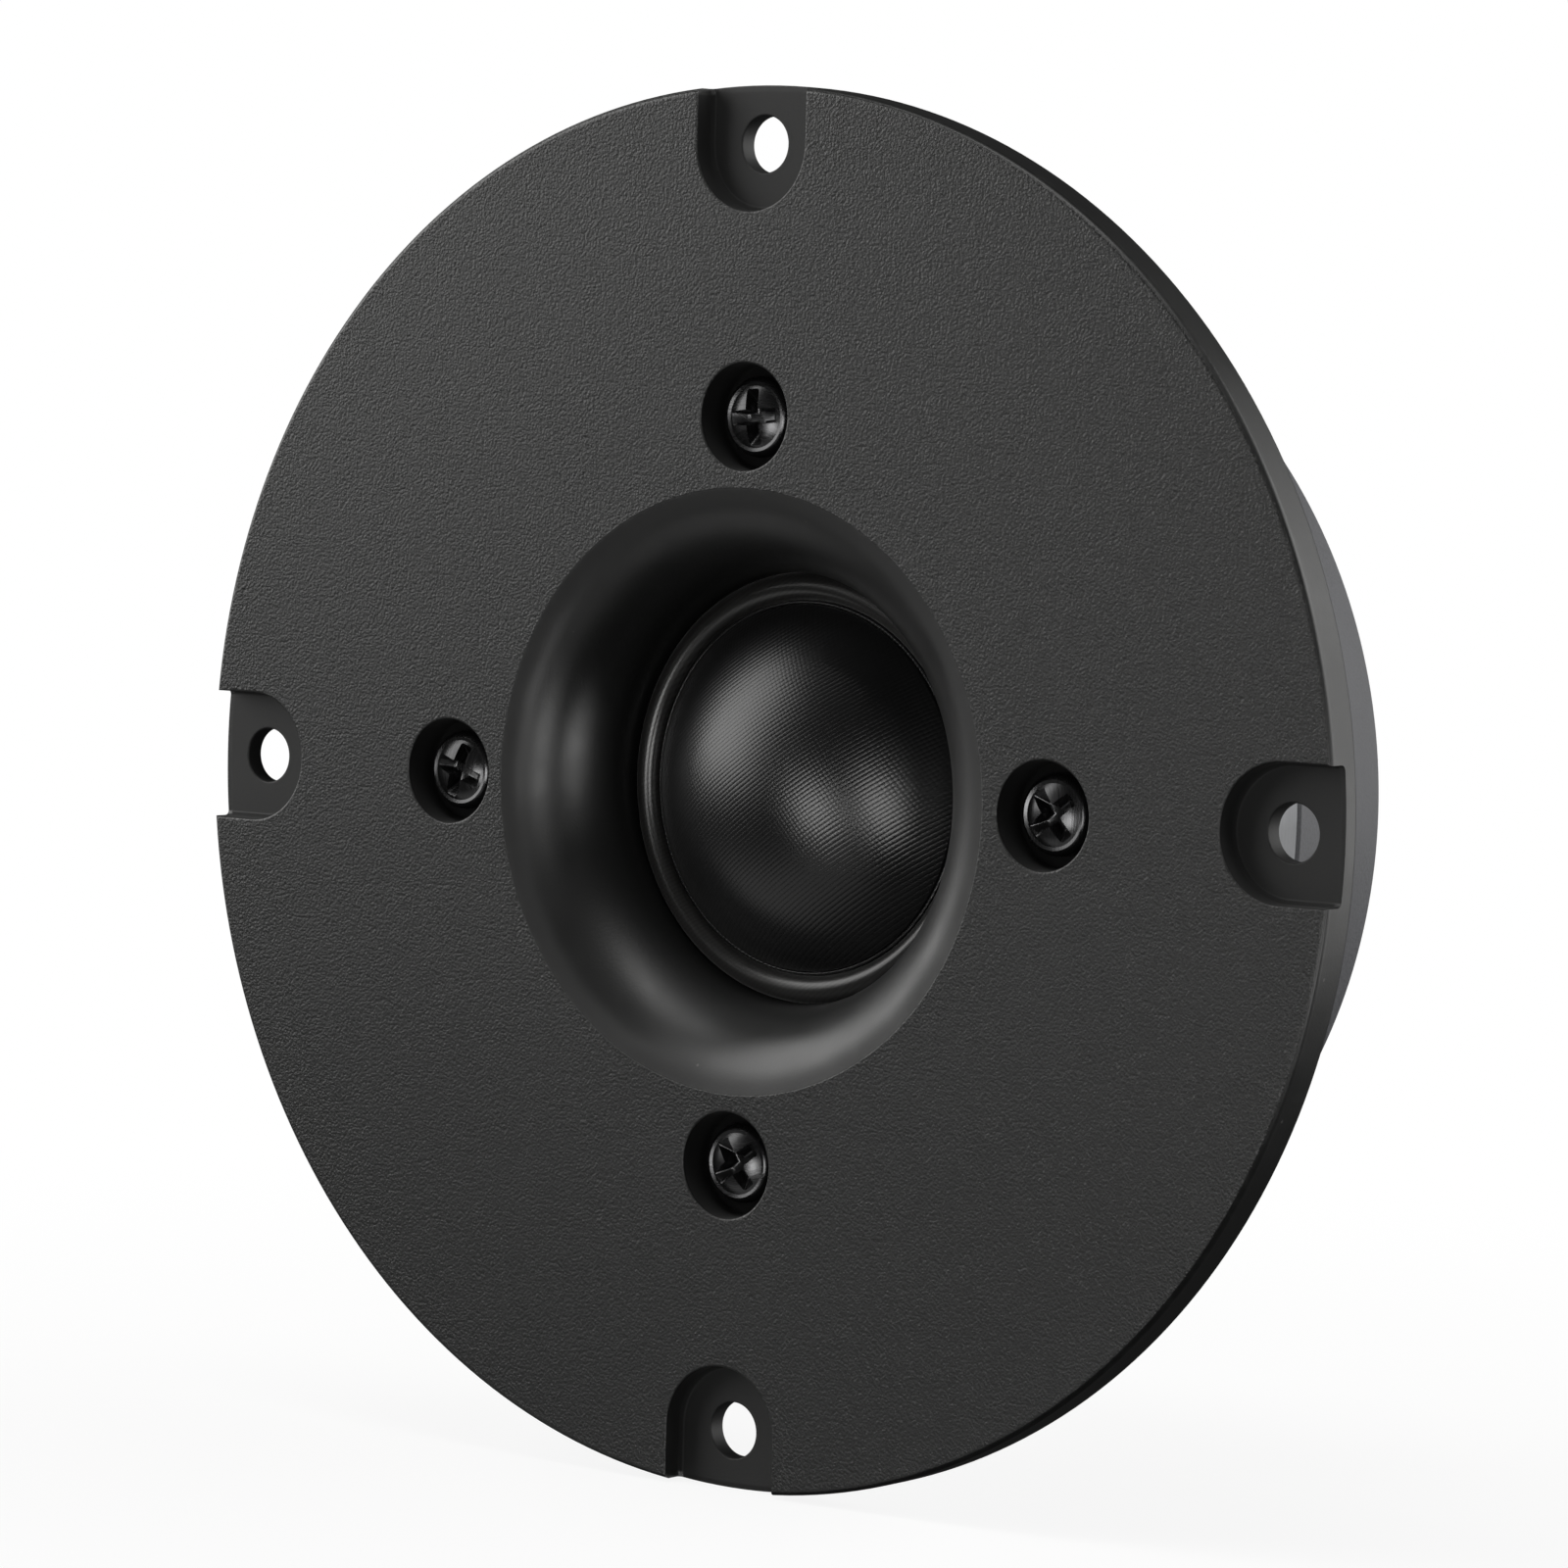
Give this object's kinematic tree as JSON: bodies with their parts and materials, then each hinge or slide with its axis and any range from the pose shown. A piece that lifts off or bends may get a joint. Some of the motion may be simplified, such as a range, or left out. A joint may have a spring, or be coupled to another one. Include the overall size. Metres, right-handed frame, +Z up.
{
  "type": "dome tweeter",
  "caption": "Round screw-down dome tweeter: horn faceplate with sunk mounting ears, soft dome on a half-roll surround, ferrite ring motor and blade terminals behind.",
  "frame": {"origin": "centre of the mounting hole circle, on the flange's rear seating face", "axes": "-Y points out of the horn, +Y to the magnet, +X is right and +Z up when the face is looked at"},
  "size_m": [0.104, 0.0296, 0.104],
  "materials": {
    "faceplate_plastic": "fine moulded grain, satin",
    "black_steel": "black oxide, oiled",
    "gasket_foam": "matte foam",
    "surround_cloth": "coated cloth, satin",
    "dome_silk": "coated woven silk",
    "former_film": "amber film",
    "coil_wire": "enamelled wire",
    "collar_paper": "kraft paper",
    "inner_plastic": "moulded, matte",
    "lead_copper": "bright copper",
    "blade_brass": "stamped",
    "solder": "bright solder",
    "zinc_steel": "zinc plated",
    "ferrite": "ground ferrite",
    "cap_copper": "drawn copper",
    "grey_felt": "wool felt"
  },
  "bodies": {
    "chassis": {"faceplate": "faceplate_plastic", "plate_screws": "black_steel", "front_gasket": "gasket_foam", "surround": "surround_cloth", "diaphragm_ring": "inner_plastic", "positive_lead_wire": "lead_copper", "negative_lead_wire": "lead_copper", "terminal_block": "inner_plastic", "positive_blade": "blade_brass", "negative_blade": "blade_brass", "blade_rivets": "blade_brass", "solder_joints": "solder", "front_pole_plate": "zinc_steel", "ring_magnet": "ferrite", "back_plate": "zinc_steel", "pole_piece": "zinc_steel", "copper_cap": "cap_copper", "dome_felt": "grey_felt", "chamber_felt": "grey_felt"},
    "diaphragm": {"dome": "dome_silk", "coil_former": "former_film", "voice_coil": "coil_wire", "coil_collar": "collar_paper"}
  },
  "joints": [
    {"name": "dome_travel", "type": "slide", "parent": "chassis", "child": "diaphragm", "axis": [0, -1, 0], "range_m": [-0.0005, 0.0005], "stiffness_N_per_m": 50, "deforming": ["surround", "positive_lead_wire", "negative_lead_wire"]}
  ]
}
